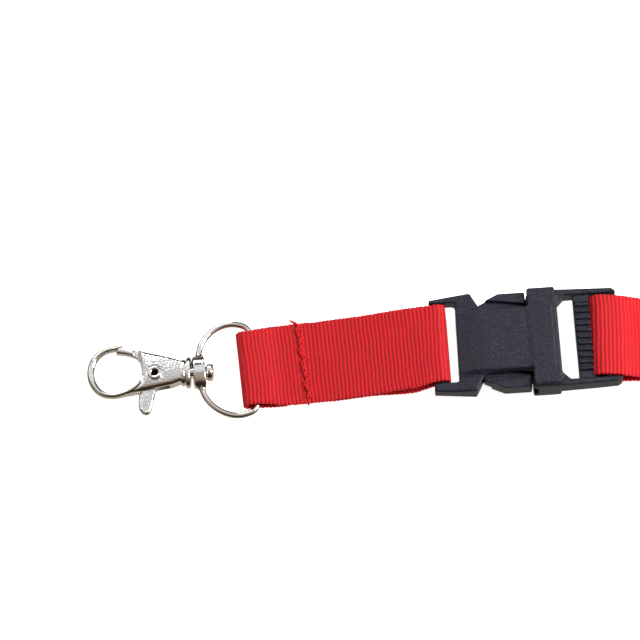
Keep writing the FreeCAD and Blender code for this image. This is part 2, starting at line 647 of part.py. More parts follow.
def swivel_rivet():
    """Headed pin fixed in the hook's collar; it turns in the D-ring's boss."""
    shank = lengthwise("swivel_shank_rod", "swivel_end", f"swivel_head_left + {OVERLAP}", 0, 0,
                       "swivel_shank")
    head = lengthwise("swivel_head_disc", "swivel_head_left", "swivel_head_right", 0, 0,
                      "swivel_head")
    return fuse("swivel_rivet", [shank, head])


def place_on_hook(thing, x=0, y=0, z=0):
    """Carry a piece from the hook's own frame, centred in the boss, to its real place."""
    reach = f"( lower_length + ring_depth * cos( {RING_SLOPE} ) )"
    swivel_x = bound(f"socket_bar_at - {reach} * cos( lower_yaw )")
    swivel_y = bound(f"lower_shift - {reach} * sin( lower_yaw )")
    origin = f"create( <<vector>> ; {swivel_x} ; {swivel_y} ; {bound('boss_height')} )"
    turn = f"create( <<rotation>> ; {bound('hook_yaw')} ; {bound('-hook_pitch')} ; 0 )"
    local = f"create( <<vector>> ; {bound(x)} ; {bound(y)} ; {bound(z)} )"
    still = "create( <<rotation>> ; 0 ; 0 ; 0 )"
    thing.setExpression("Placement", f"create( <<placement>> ; {origin} ; {turn} )"
                        f" * create( <<placement>> ; {local} ; {still} )")


pieces = [buckle_socket(), buckle_plug(), far_prong()]
near_prong = mirrored("near_prong", pieces[-1])
pieces += [near_prong, *lower_strap(), *neck_strap(), d_ring()]
for build_piece in (hook_body, gate_lever, gate_rivet, swivel_rivet):
    hook_piece = build_piece()
    place_on_hook(hook_piece)
    pieces.append(hook_piece)
spring = gate_spring()
place_on_hook(spring, "pivot_at", "pivot_side", "pocket_floor + spring_wire + 0.05")
pieces.append(spring)
doc.recompute()

for thing in doc.Objects:
    if "Invalid" in thing.State or "Error" in thing.State:
        raise RuntimeError(f"{thing.Name} did not compute: {thing.State}")
os.makedirs("parts", exist_ok=True)
for piece in pieces:
    piece.Label = piece.Name
    if piece.Shape.isNull() or not piece.Shape.isValid():
        raise RuntimeError(f"{piece.Label} has no valid shape")
    piece.Shape.exportStep(f"parts/{piece.Label}.step")
    print(f"{piece.Label}: {len(piece.Shape.Solids)} solid(s), {piece.Shape.Volume:.1f} mm3")
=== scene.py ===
"""Looks of the lanyard end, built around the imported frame.

The mesh code works in millimetres, in each part's own frame, and is written out in metres.
Moulded and cast pieces are signed distance fields turned into smooth quad meshes; the webbing
is a ribbon with real ribs swept along its path.
"""
import bpy
import json
import math
import numpy as np
from mathutils import Matrix, Vector


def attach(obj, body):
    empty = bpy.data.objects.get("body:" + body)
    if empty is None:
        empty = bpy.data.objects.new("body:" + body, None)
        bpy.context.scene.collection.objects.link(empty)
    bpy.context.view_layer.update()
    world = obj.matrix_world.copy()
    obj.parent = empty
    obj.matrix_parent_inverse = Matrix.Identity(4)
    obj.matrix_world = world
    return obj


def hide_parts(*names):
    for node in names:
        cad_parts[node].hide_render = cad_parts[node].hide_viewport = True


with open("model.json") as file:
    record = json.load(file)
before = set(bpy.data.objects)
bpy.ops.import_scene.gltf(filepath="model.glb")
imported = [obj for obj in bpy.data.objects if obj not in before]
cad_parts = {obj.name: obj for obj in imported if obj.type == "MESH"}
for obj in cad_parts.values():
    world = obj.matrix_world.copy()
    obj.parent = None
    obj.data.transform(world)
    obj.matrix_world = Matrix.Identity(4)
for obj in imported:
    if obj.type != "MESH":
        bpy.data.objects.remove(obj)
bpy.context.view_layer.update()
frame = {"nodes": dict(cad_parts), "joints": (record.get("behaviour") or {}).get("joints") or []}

MM = 0.001
JOINTS = {joint["name"]: joint for joint in frame["joints"]}


# ---------------------------------------------------------------- local frames
def anchor(joint):
    """A joint's anchor in millimetres."""
    return Vector(JOINTS[joint]["pos_m"]) / MM


def local_frame(origin, x_axis, z_axis=(0, 0, 1)):
    """Matrix of a frame from its origin, its X axis and roughly its Z axis."""
    x_axis = Vector(x_axis).normalized()
    y_axis = Vector(z_axis).cross(x_axis).normalized()
    matrix = Matrix((x_axis, y_axis, x_axis.cross(y_axis))).transposed().to_4x4()
    matrix.translation = Vector(origin)
    return matrix


SOCKET_BAR = anchor("lower_strap_hinge")
RING_BAR = anchor("d_ring_hinge")
SWIVEL = anchor("hook_swivel")
PLUG_BAR = anchor("neck_strap_hinge")
MID = SOCKET_BAR.z
RING_AXIS = Vector(JOINTS["d_ring_hinge"]["axis"])

# How far aside each strap lies on its bar, and the neck strap's slant.
LOWER_SHIFT = 0.3
NECK_SHIFT = -0.2
NECK_YAW = math.radians(-2.5)

BUCKLE = local_frame((0, 0, MID), (1, 0, 0))
LOWER = local_frame((SOCKET_BAR.x, LOWER_SHIFT, 0), (RING_AXIS.y, -RING_AXIS.x, 0))
NECK = local_frame((PLUG_BAR.x, NECK_SHIFT, 0), (math.cos(NECK_YAW), math.sin(NECK_YAW), 0))
RING = local_frame(RING_BAR, RING_BAR - SWIVEL)
HOOK = local_frame(SWIVEL, JOINTS["hook_swivel"]["axis"], JOINTS["gate_pivot"]["axis"])


# ---------------------------------------------------------------- camera, floor, light
VIEW_TARGET = Vector((-53.7, 12.9, 0)) * MM
VIEW_AZIMUTH = math.radians(-3.9)
VIEW_ELEVATION = math.radians(68)
VIEW_DISTANCE = 1.5
VIEW_WIDTH = 0.1864
SENSOR = 36


def aim(thing, target):
    """Turns a camera or light so that it looks at a point."""
    thing.rotation_euler = (Vector(target) - thing.location).to_track_quat("-Z", "Y").to_euler()


def add_camera():
    """A long lens, so that the view is nearly without perspective."""
    camera = bpy.data.objects.new("camera", bpy.data.cameras.new("camera"))
    bpy.context.scene.collection.objects.link(camera)
    camera.data.sensor_width = SENSOR
    camera.data.lens = SENSOR * VIEW_DISTANCE / VIEW_WIDTH
    camera.data.clip_start = 0.01
    back = Vector((math.sin(VIEW_AZIMUTH) * math.cos(VIEW_ELEVATION),
                   -math.cos(VIEW_AZIMUTH) * math.cos(VIEW_ELEVATION),
                   math.sin(VIEW_ELEVATION)))
    camera.location = VIEW_TARGET + back * VIEW_DISTANCE
    aim(camera, VIEW_TARGET)
    bpy.context.scene.camera = camera


def add_softbox(name, place, size, power, colour=(1, 1, 1)):
    """A rectangular light aimed at the object, sizes in metres and power in watts."""
    light = bpy.data.objects.new(name, bpy.data.lights.new(name, "AREA"))
    bpy.context.scene.collection.objects.link(light)
    light.data.shape = "RECTANGLE"
    light.data.size, light.data.size_y = size
    light.data.energy = power
    light.data.color = colour
    light.location = Vector(place)
    aim(light, (-0.03, 0, 0))


def studio_world():
    """Room painted by direction: a wide softbox overhead and a little beyond the object, a warm
    dim wall on the camera's side, a dark horizon, and a pale table below it."""
    world = bpy.data.worlds.new("studio")
    world.use_nodes = True
    nodes, links = world.node_tree.nodes, world.node_tree.links
    split = nodes.new("ShaderNodeSeparateXYZ")
    links.new(nodes.new("ShaderNodeTexCoord").outputs["Generated"], split.inputs[0])

    def span(source, low, high):
        node = nodes.new("ShaderNodeMapRange")
        node.inputs["From Min"].default_value = low
        node.inputs["From Max"].default_value = high
        links.new(source, node.inputs["Value"])
        return node.outputs[0]

    def ramp(source, stops):
        node = nodes.new("ShaderNodeValToRGB")
        links.new(span(source, -1, 1), node.inputs[0])
        elements = node.color_ramp.elements
        while len(elements) < len(stops):
            elements.new(0.5)
        for element, (position, colour) in zip(elements, stops):
            element.position = (position + 1) / 2
            element.color = (*colour, 1)
        return node.outputs[0]

    def mix(amount, first, second, kind="MIX"):
        node = nodes.new("ShaderNodeMix")
        node.data_type, node.blend_type = "RGBA", kind
        node.inputs[0].default_value = 1.0
        if amount:
            links.new(amount, node.inputs[0])
        links.new(first, node.inputs[6])
        links.new(second, node.inputs[7])
        return node.outputs[2]

    depth = ramp(split.outputs[1], (
        (-0.95, (0.02, 0.015, 0.01)), (-0.72, (0.06, 0.04, 0.03)), (-0.5, (0.30, 0.23, 0.17)),
        (-0.2, (0.44, 0.38, 0.31)), (0.10, (0.44, 0.41, 0.40)), (0.26, (0.86, 0.89, 0.97)),
        (0.40, (0.95, 0.97, 1.0)), (0.58, (0.90, 0.92, 0.99)), (0.67, (0.10, 0.10, 0.11)),
        (0.9, (0.02, 0.02, 0.02))))
    width = ramp(split.outputs[0], (
        (-0.95, (0.05, 0.05, 0.05)), (-0.86, (0.9, 0.87, 0.80)), (-0.55, (1, 1, 1)),
        (-0.35, (0.70, 0.70, 0.74)), (0.0, (1, 1, 1)), (0.35, (0.72, 0.72, 0.75)),
        (0.55, (1, 1, 1)), (0.86, (0.9, 0.87, 0.80)), (0.95, (0.05, 0.05, 0.05))))
    table = ramp(split.outputs[2], (
        (-1.0, (0.44, 0.41, 0.36)), (-0.5, (0.50, 0.46, 0.38)), (-0.2, (0.22, 0.19, 0.15)),
        (0.0, (0.02, 0.02, 0.02))))
    room = mix(None, depth, width, "MULTIPLY")
    background = nodes["Background"]
    background.inputs["Strength"].default_value = 1.15
    links.new(mix(span(split.outputs[2], 0.02, 0.16), table, room), background.inputs["Color"])
    return world


def add_studio():
    """World, two windows and the table, which metal doesn't reflect: the world's own does."""
    scene = bpy.context.scene
    scene.view_settings.view_transform = "Standard"
    scene.world = studio_world()
    add_softbox("right_window", (1.0, -0.05, 0.75), (0.35, 0.9), 26, (1, 0.97, 0.93))
    add_softbox("back_window", (-0.35, 0.95, 0.6), (0.9, 0.3), 6)
    side = 1.6
    mesh = bpy.data.meshes.new("floor")
    mesh.from_pydata([(-side, -side, 0), (side, -side, 0), (side, side, 0), (-side, side, 0)],
                     [], [(0, 1, 2, 3)])
    floor = bpy.data.objects.new("floor", mesh)
    scene.collection.objects.link(floor)
    floor.data.materials.append(floor_material())
    floor.visible_glossy = False


# ---------------------------------------------------------------- materials
class Shading:
    """A material with its Principled shader, and short ways to add nodes."""

    def __init__(self, name, **values):
        self.material = bpy.data.materials.new(name)
        self.material.use_nodes = True
        self.tree = self.material.node_tree
        self.shader = self.tree.nodes["Principled BSDF"]
        for socket, value in values.items():
            self.shader.inputs[socket.replace("_", " ")].default_value = value

    def add(self, kind, inputs=None, **settings):
        """A node with its settings made and its inputs set or linked."""
        node = self.tree.nodes.new("ShaderNode" + kind)
        for setting, value in settings.items():
            setattr(node, setting, value)
        for socket, value in (inputs or {}).items():
            if isinstance(value, bpy.types.NodeSocket):
                self.tree.links.new(value, node.inputs[socket])
            else:
                node.inputs[socket].default_value = value
        return node

    def place(self):
        """Position on the piece, in metres, which moves with the piece."""
        return self.add("TexCoord").outputs["Object"]

    def noise(self, size, detail=3.0):
        """Noise of a feature size in millimetres, from 0 to 1."""
        mapping = self.add("Mapping", {"Vector": self.place(), "Scale": [1 / (size * MM)] * 3})
        return self.add("TexNoise", {"Vector": mapping.outputs[0], "Scale": 1.0,
                                     "Detail": detail}).outputs["Fac"]

    def sums(self, operation, first, second=0.0, third=0.0):
        """Result of a Math node's operation."""
        return self.add("Math", {0: first, 1: second, 2: third}, operation=operation).outputs[0]

    def ramp(self, value, low, high, from_low=0.0, from_high=1.0):
        """Value mapped from one range to another, held at its ends."""
        return self.add("MapRange", {"Value": value, "From Min": from_low, "From Max": from_high,
                                     "To Min": low, "To Max": high}).outputs[0]

    def blend(self, amount, first, second):
        """Colour that goes from the first to the second as the amount goes from 0 to 1."""
        return self.add("Mix", {0: amount, 6: first, 7: second}, data_type="RGBA").outputs[2]

    def bump(self, height, distance, strength=1.0, before=None):
        """Bump of a height from 0 to 1, distance in millimetres."""
        inputs = {"Height": height, "Distance": distance * MM, "Strength": strength}
        if before is not None:
            inputs["Normal"] = before
        return self.add("Bump", inputs).outputs["Normal"]

    def drive(self, **sockets):
        """Links the shader's sockets and returns the finished material."""
        for socket, value in sockets.items():
            self.tree.links.new(value, self.shader.inputs[socket.replace("_", " ")])
        return self.material


def floor_material():
    """White table, lit enough of itself to stay white in the picture."""
    look = Shading("white_table", Roughness=0.6, Emission_Color=(1, 1, 1, 1),
                   Emission_Strength=0.88)
    tone = look.blend(look.noise(40), (0.93, 0.93, 0.94, 1), (0.95, 0.95, 0.95, 1))
    return look.drive(Base_Color=tone)


def plastic_material():
    """Black moulded acetal with a fine spark-eroded grain, and lighter bluish specks here and
    there, painted into the colour as glints.
    """
    look = Shading("black_acetal", Specular_IOR_Level=0.3)
    grain = look.noise(0.36, 3.0)
    # Lighter bluish specks painted into the colour as glints of the grain.
    painted_glint = look.ramp(look.noise(0.34, 2.0), 0, 1, 0.56, 0.72)
    cloud = look.noise(6.0, 3.0)
    tone = look.blend(cloud, (0.005, 0.006, 0.013, 1), (0.009, 0.010, 0.021, 1))
    tone = look.blend(painted_glint, tone, (0.045, 0.048, 0.080, 1))
    return look.drive(Base_Color=tone, Roughness=look.ramp(cloud, 0.33, 0.42),
                      Normal=look.bump(grain, 0.2))


def nickel_material(name, cast_from=None):
    """Nickel plate. Flat faces at a higher X than cast_from, in metres, show the casting's pits;
    without it the piece is polished all over."""
    look = Shading(name, Metallic=1.0)
    cloud = look.noise(2.5, 3.0)
    tone = look.blend(cloud, (0.70, 0.675, 0.63, 1), (0.79, 0.775, 0.75, 1))
    fine = look.noise(0.5, 2.0)
    normal = look.bump(fine, 0.006)
    if cast_from is not None:
        pits = look.ramp(look.noise(0.6, 2.5), 0, 1, 0.38, 0.66)
        split = look.add("SeparateXYZ", {0: look.place()}).outputs
        facing = look.add("SeparateXYZ", {0: look.add("TexCoord").outputs["Normal"]}).outputs[2]
        flat = look.ramp(look.sums("ABSOLUTE", facing), 0, 1, 0.90, 0.985)
        cast = look.ramp(split[0], 0, 1, cast_from - 0.5 * MM, cast_from + 0.5 * MM)
        height = look.sums("MULTIPLY", pits, look.sums("MULTIPLY", flat, cast))
        normal = look.bump(height, 0.06, before=normal)
    return look.drive(Base_Color=tone, Roughness=look.ramp(cloud, 0.08, 0.16), Normal=normal)


def rivet_material():
    """Nickel plate with a dull bore, painted dark as the shade inside it."""
    look = Shading("nickel_rivet", Metallic=1.0)
    axis = HOOK @ PIVOT * MM
    away = look.add("VectorMath", {0: look.place(), 1: axis}, operation="SUBTRACT").outputs[0]
    split = look.add("SeparateXYZ", {0: away}).outputs
    squared = look.sums("MULTIPLY", split[1], split[1])
    squared = look.sums("MULTIPLY_ADD", split[0], split[0], squared)
    wall = look.ramp(look.sums("SQRT", squared), 0, 1, 0.93 * MM, 1.12 * MM)
    # The bore's dark colour is painted shade.
    bore = look.blend(look.noise(0.6), (0.08, 0.08, 0.085, 1), (0.22, 0.22, 0.22, 1))
    plate = look.blend(look.noise(1.5), (0.72, 0.69, 0.63, 1), (0.83, 0.81, 0.78, 1))
    tone = look.blend(wall, bore, plate)
    return look.drive(Base_Color=tone, Roughness=look.ramp(wall, 0.5, 0.12))


def spring_material():
    """Drawn steel wire."""
    look = Shading("spring_wire", Metallic=1.0)
    drawn = look.noise(0.2, 2.0)
    tone = look.blend(drawn, (0.50, 0.50, 0.51, 1), (0.62, 0.62, 0.63, 1))
    return look.drive(Base_Color=tone, Roughness=look.ramp(drawn, 0.25, 0.4))


RIB_PITCH = 1.13
# Where, along the strap in millimetres, the darker painted shade of the grooves beside the first
# bar fades out.
SHADE_FADES_FROM, SHADE_GONE_AT = 9.0, 16.0


def webbing_material(name, groove_shade, crest, yarn_pitch, sheen, groove_shade_far=None):
    """Ribbed webbing: fine warp yarns run over the ribs, half a yarn aside on the next rib.

    The weave attribute holds the place along and across the webbing, in millimetres. The first
    colour is painted shade in the grooves between the ribs and yarns; where a far colour is given,
    the first is the darker painted shade beside the first bar and the far one the lighter painted
    shade of the grooves beyond it.
    """
    look = Shading(name, Sheen_Weight=sheen, Sheen_Roughness=0.35, Specular_IOR_Level=0.24)
    weave = look.add("Attribute", attribute_name="weave").outputs["Vector"]
    split = look.add("SeparateXYZ", {0: weave}).outputs
    phase = look.sums("DIVIDE", split[0], RIB_PITCH)
    odd = look.sums("MODULO", look.sums("FLOOR", phase), 2.0)
    lane = look.sums("MULTIPLY_ADD", odd, 0.5, look.sums("DIVIDE", split[1], yarn_pitch))
    yarn = look.sums("ABSOLUTE", look.sums("SINE", look.sums("MULTIPLY", lane, math.pi)))
    rib = look.sums("ABSOLUTE", look.sums("SINE", look.sums("MULTIPLY", phase, math.pi)))
    fuzz = look.add("TexNoise", {"Vector": weave, "Scale": 3.1, "Detail": 3.0}).outputs["Fac"]
    patch = look.add("TexNoise", {"Vector": weave, "Scale": 0.22, "Detail": 2.0}).outputs["Fac"]
    tuft = look.add("TexNoise", {"Vector": weave, "Scale": 1.15, "Detail": 1.0}).outputs["Fac"]
    cover = look.sums("MULTIPLY", look.sums("POWER", rib, 0.6), look.ramp(yarn, 0.60, 1.05))
    cover = look.sums("MULTIPLY", cover, look.ramp(tuft, 0.8, 1.1, 0.3, 0.7))
    # Beside the first bar the grooves carry a darker painted shade, which fades out along the
    # strap.
    if groove_shade_far:
        shade_fading = look.ramp(split[0], 0, 1, SHADE_FADES_FROM, SHADE_GONE_AT)
        groove_shade = look.blend(shade_fading, groove_shade, groove_shade_far)
    # Between the ribs and yarns the colour falls to the painted shade of the grooves.
    tone = look.blend(cover, groove_shade, crest)
    worn = [0.8 * part for part in crest[:3]] + [1]
    tone = look.blend(look.ramp(patch, 0.0, 0.55, 0.4, 0.75), tone, worn)
    relief = look.sums("MULTIPLY_ADD", fuzz, 0.6, yarn)
    return look.drive(Base_Color=tone, Roughness=look.ramp(fuzz, 0.52, 0.74),
                      Normal=look.bump(relief, 0.05, 0.8))


def thread_material():
    """Red thread with darker lines of painted shade between its plies."""
    look = Shading("sewing_thread", Roughness=0.6, Sheen_Weight=0.05, Specular_IOR_Level=0.2)
    ply = look.ramp(look.noise(0.3, 2.0), 0, 1, 0.32, 0.56)
    # The dark colour is painted shade between the plies.
    tone = look.blend(ply, (0.16, 0.001, 0.004, 1), (0.70, 0.007, 0.014, 1))
    return look.drive(Base_Color=tone, Normal=look.bump(ply, 0.06))


# ---------------------------------------------------------------- signed distance fields
def grid(low, high, step):
    """Sparse X, Y and Z coordinates of a block of samples."""
    axes = [np.arange(start, end + step, step, dtype=np.float32) for start, end in zip(low, high)]
    return np.meshgrid(*axes, indexing="ij", sparse=True)


def polygon(u, v, corners):
    """Signed distance to a closed outline, negative inside."""
    u, v = np.broadcast_arrays(u, v)
    inside = np.zeros(u.shape, bool)
    nearest = np.full(u.shape, 1e9, np.float32)
    for (au, av), (bu, bv) in zip(corners, corners[1:] + corners[:1]):
        run_u, run_v = bu - au, bv - av
        share = np.clip(((u - au) * run_u + (v - av) * run_v) / (run_u ** 2 + run_v ** 2), 0, 1)
        nearest = np.minimum(nearest, (u - au - run_u * share) ** 2 + (v - av - run_v * share) ** 2)
        if run_v:
            inside ^= ((av > v) != (bv > v)) & (u < au + run_u * (v - av) / run_v)
    return np.where(inside, -1, 1) * np.sqrt(nearest)


def slab(flat, height, half, edge):
    """An outline's distance given thickness along another axis, with rounded edges."""
    side = flat + edge
    top = np.abs(height) - half + edge
    outside = np.hypot(np.maximum(side, 0), np.maximum(top, 0))
    return np.minimum(np.maximum(side, top), 0) + outside - edge


def brick(u, v, half_u, half_v, edge):
    """Signed distance to a rounded rectangle about the origin."""
    return slab(np.abs(u) - half_u, v, half_v, edge)


def oval(u, v, half_u, half_v, power=2.1):
    """Distance, near the outline, to an oval a little squarer than an ellipse."""
    size = ((np.abs(u) / half_u) ** power + (np.abs(v) / half_v) ** power) ** (1 / power)
    return (size - 1) * min(half_u, half_v)


def block(points, low, high, edge):
    """Signed distance to a box between two corners, with rounded edges."""
    u, v, w = [value - (a + b) / 2 for value, a, b in zip(points, low, high)]
    half_u, half_v, half_w = [(b - a) / 2 for a, b in zip(low, high)]
    return slab(brick(u, v, half_u, half_v, edge), w, half_w, edge)


def rod(u, v, radius, along, low, high, edge=0.2):
    """Signed distance to a cylinder; u and v are measured from its axis."""
    return slab(np.hypot(u, v) - radius, along - (low + high) / 2, (high - low) / 2, edge)


def ease(value):
    """A value clipped to 0 and 1, with a smooth start and end."""
    value = np.clip(value, 0, 1)
    return value * value * (3 - 2 * value)


def merge(first, second, blend=0.01):
    """Union of two solids, with a fillet of about the blend's size."""
    share = np.clip(0.5 + 0.5 * (second - first) / blend, 0, 1)
    return second + (first - second) * share - blend * share * (1 - share)


def carve(body, tool, blend=0.01):
    """A solid with another cut out of it."""
    return -merge(-body, tool, blend)


def curve(points, per_span, closed=False):
    """Catmull-Rom curve through given points; extra columns are carried along."""
    points = np.array(points, float)
    if closed:
        points = np.vstack([points[-1:], points, points[:2]])
    else:
        points = np.vstack([2 * points[0] - points[1], points, 2 * points[-1] - points[-2]])
    out = []
    for before, start, end, after in zip(points, points[1:], points[2:], points[3:]):
        for step in range(per_span):
            k = step / per_span
            out.append(0.5 * (2 * start + (end - before) * k
                              + (2 * before - 5 * start + 4 * end - after) * k ** 2
                              + (3 * start - before - 3 * end + after) * k ** 3))
    if not closed:
        out.append(points[-2])
    return np.array(out)


def wire(points, u, v, height, closed=False):
    """Distance to a bent wire; each point is u, v, half width and half height."""
    line = curve(points, 8, closed)
    if closed:
        line = np.vstack([line, line[:1]])
    u, v = np.broadcast_arrays(u, v)
    nearest = np.full(u.shape, 1e9, np.float32)
    sizes = [np.zeros(u.shape, np.float32) for _ in range(2)]
    for start, end in zip(line, line[1:]):
        run = end - start
        share = ((u - start[0]) * run[0] + (v - start[1]) * run[1]) / (run[0] ** 2 + run[1] ** 2)
        share = np.clip(share, 0, 1)
        gap = np.hypot(u - start[0] - run[0] * share, v - start[1] - run[1] * share)
        closer = gap < nearest
        nearest = np.where(closer, gap, nearest)
        for index, size in enumerate(sizes):
            size[closer] = (start[index + 2] + run[index + 2] * share)[closer]
    wide, tall = sizes
    reach = np.sqrt((nearest / wide) ** 2 + (height / tall) ** 2)
    return (reach - 1) * np.minimum(wide, tall)


def skin(name, points, field, matrix, relax=2):
    """Smooth closed quad mesh of a field's zero surface (surface nets), as an object."""
    inside = field < 0
    origin = np.array([axis.flat[0] for axis in points])
    step = points[0].flat[1] - points[0].flat[0]
    cells, spots, quads, flips = [], [], [], []

    # Each grid edge that crosses the surface makes a quad of the four cells around it.
    for axis in range(3):
        near = [slice(None)] * 3
        far = [slice(None)] * 3
        near[axis], far[axis] = slice(None, -1), slice(1, None)
        edge = np.argwhere(inside[tuple(near)] != inside[tuple(far)])
        a = field[tuple(edge.T)]
        beyond = edge.copy()
        beyond[:, axis] += 1
        b = field[tuple(beyond.T)]
        where = edge.astype(float)
        where[:, axis] += a / (a - b)
        other, third = (axis + 1) % 3, (axis + 2) % 3
        corner = []
        for shift_a, shift_b in ((0, 0), (1, 0), (1, 1), (0, 1)):
            cell = edge.copy()
            cell[:, other] -= shift_a
            cell[:, third] -= shift_b
            key = np.ravel_multi_index(cell.T, field.shape)
            corner.append(key)
            cells.append(key)
            spots.append(where)
        quads.append(np.array(corner).T)
        flips.append(a > 0)

    # Each cell's vertex is the mean of the crossings on its edges.
    cells, spots = np.concatenate(cells), np.concatenate(spots)
    used, index = np.unique(cells, return_inverse=True)
    count = np.bincount(index)
    verts = np.stack([np.bincount(index, spots[:, k]) / count for k in range(3)], 1)
    faces = np.searchsorted(used, np.concatenate(quads))
    turn = np.concatenate(flips)
    faces[turn] = faces[turn][:, ::-1]
    faces = faces[:, ::-1]
    for _ in range(relax):
        ends = np.concatenate([faces[:, [k, (k + 1) % 4]] for k in range(4)])
        mean = np.stack([np.bincount(ends[:, 0], verts[ends[:, 1], k], len(verts))
                         for k in range(3)], 1)
        mean /= np.bincount(ends[:, 0], minlength=len(verts))[:, None]
        verts = verts * 0.5 + mean * 0.5
    return solid(name, origin + verts * step, faces.tolist(), matrix)


def solid(name, verts, faces, matrix, weave=None):
    """Mesh object from millimetre points in a local frame, smooth shaded, outside out."""
    turn = np.array(matrix)
    verts = (np.asarray(verts) @ turn[:3, :3].T + turn[:3, 3]) * MM
    mesh = bpy.data.meshes.new(name)
    mesh.from_pydata(verts.tolist(), [], faces)
    mesh.update()
    if volume(mesh) < 0:
        mesh.flip_normals()
    mesh.shade_smooth()
    if weave is not None:
        mesh.attributes.new("weave", "FLOAT_VECTOR", "POINT").data.foreach_set(
            "vector", np.asarray(weave, np.float32).ravel())
    piece = bpy.data.objects.new(name, mesh)
    bpy.context.scene.collection.objects.link(piece)
    return piece


def volume(mesh):
    """Signed volume, which is negative where the faces look inwards."""
    mesh.calc_loop_triangles()
    corners = np.zeros(len(mesh.loop_triangles) * 3, np.int32)
    mesh.loop_triangles.foreach_get("vertices", corners)
    spots = np.zeros(len(mesh.vertices) * 3, np.float32)
    mesh.vertices.foreach_get("co", spots)
    a, b, c = spots.reshape(-1, 3)[corners.reshape(-1, 3)].transpose(1, 0, 2)
    return float(np.einsum("ij,ij->i", a, np.cross(b, c)).sum()) / 6


def finish_piece(piece, material, body, node):
    """Material, body, and the CAD node that the piece stands for."""
    piece.data.materials.append(material)
    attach(piece, body)
    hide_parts(node)


# ---------------------------------------------------------------- buckle
def make_socket():
    """Collar, two plates over the prongs and the open frame with its strap bar."""
    x, y, z = points = grid((-22.6, -16.6, -5.6), (15.6, 16.6, 5.6), 0.2)
    outline = [(-22.1, 14.2), (-16, 15.0), (-10.1, 15.4), (-7.9, 11.1), (-6.5, 9.7), (-2, 9.7),
               (-2, -9.7), (-6.5, -9.7), (-7.9, -10.9), (-10.1, -15.1), (-16, -14.8),
               (-22.2, -14.2)]
    frame_half, plate_rise, tunnel_half = 2.1, 2.5, 9.72
    rise = plate_rise * ease((x + 17.5) / 10.5)
    lift = 0.30 * rise
    frame_plate = slab(polygon(x, y, outline), z - lift * np.sign(z), 2.15 + lift * 0.4, 0.7)
    tunnel = slab(np.abs(y) - tunnel_half, z, frame_half + rise, 1.0)
    tunnel = np.maximum(tunnel, np.abs(x + 1.5) - 14.2)
    collar = slab(brick(y, z, 15.5, 4.7, 1.7), x - 10.45, 4.05, 0.5)
    shell = merge(merge(frame_plate, tunnel, 1.4), collar, 0.9)
    corner = 0.9
    slot = polygon(x, y, [(-24.0, 12.1), (-15.4, 12.1), (-15.85, -10.8), (-24.0, -10.8)]) - corner
    mouth = slab(brick(y, z, 13.8, 3.1, 1.6), x - 12, 5.4, 0.3)
    gap = block(points, (-8.4, -30, -1.9), (7.6, 30, 1.9), 0.5)
    shell = carve(carve(carve(shell, slot, 0.5), mouth, 0.3), gap, 0.3)
    for side in (-1, 1):
        wall = block((x, side * y, z), (-8.6, 3.0, -2.4), (6.4, 4.2, 2.4), 0.2)
        shell = merge(shell, wall, 0.3)
    bar = rod(x + 20.0, z, 1.2, y, -13.6, 13.6)
    return skin("socket_shell", points, merge(shell, bar, 0.5), BUCKLE)


def make_plug():
    """Flange and guide inside the collar, two rails, ribbed bar and strap bar."""
    x, y, z = points = grid((-5, -16, -3.8), (33.4, 16, 3.8), 0.17)
    rail = polygon(x, np.abs(y), [(14.3, 13.0), (14.3, 15.05), (31.0, 14.5),
                                   (32.0, 13.9), (32.3, 13.0)])
    body = slab(rail, z, 2.65, 0.55)
    gusset = polygon(x, np.abs(y), [(14.3, 10.6), (14.9, 10.6), (17.3, 13.1), (17.3, 13.5),
                                    (14.3, 13.5)])
    body = merge(body, slab(gusset, z, 2.4, 0.4), 0.3)
    flange = block(points, (13.0, -13.4, -2.65), (14.9, 13.4, 2.65), 0.4)
    guide = block(points, (-4, -2.6, -1.5), (14, 2.6, 1.5), 0.5)
    grip = block(points, (19.75, -13.3, -1.6), (24.3, 13.3, 1.6), 0.45)
    margin = block((x, np.abs(y), z), (19.75, 10.75, -1.9), (24.3, 13.3, 1.9), 0.35)
    grip = np.minimum(grip, margin)
    body = merge(merge(merge(body, flange, 0.4), guide, 0.3), grip, 0.35)
    rib_pitch, rib_height, rib_radius = 1.98, 1.8, 0.62
    for index in range(-5, 6):
        for height in (-rib_height, rib_height):
            rib = rod(y - rib_pitch * index, z - height, rib_radius, x, 20.2, 24.25)
            body = np.minimum(body, rib)
    bar = rod(x - PLUG_BAR.x, z, 1.6, y, -13.6, 13.6)
    return skin("plug_frame", points, merge(body, bar, 0.4), BUCKLE)


def make_prong(name, side):
    """Flexible arm with a thin lip and a raised button whose ridge is a wide chevron."""
    x, y, z = points = grid((-8.8, 8.4, -3.6), (14.2, 15.6, 3.6), 0.14)
    arm = slab(polygon(x, y, [(14.0, 10.9), (5.5, 10.9), (5.5, 12.7), (14.0, 12.7)]), z, 1.6, 0.35)
    lip = polygon(x, y, [(5.9, 10.4), (-1.0, 9.4), (-7.8, 9.4), (-7.8, 11.75), (-1.9, 14.7),
                         (5.9, 14.7)])
    pad = polygon(x, y, [(5.7, 11.1), (-0.3, 12.1), (-5.1, 12.7), (-5.8, 12.9), (-1.9, 14.7),
                         (5.7, 14.7)])
    lip_half, pad_half, ridge_slope, fall = 1.6, 2.85, 4.0, 0.12
    crown = np.clip(pad_half - ridge_slope * np.maximum(pad, 0), lip_half, pad_half)
    crown = crown - fall * np.clip(y - 12, 0, 3)
    button = slab(lip, z, crown, 0.25)
    mesh = skin(name, points, merge(arm, button, 0.3), BUCKLE, relax=1)
    if side < 0:
        for vertex in mesh.data.vertices:
            vertex.co.y = -vertex.co.y
        mesh.data.flip_normals()
    return mesh


# ---------------------------------------------------------------- D-ring
RING_DEPTH = (RING_BAR - SWIVEL).length
WIRE_RADIUS = 0.9


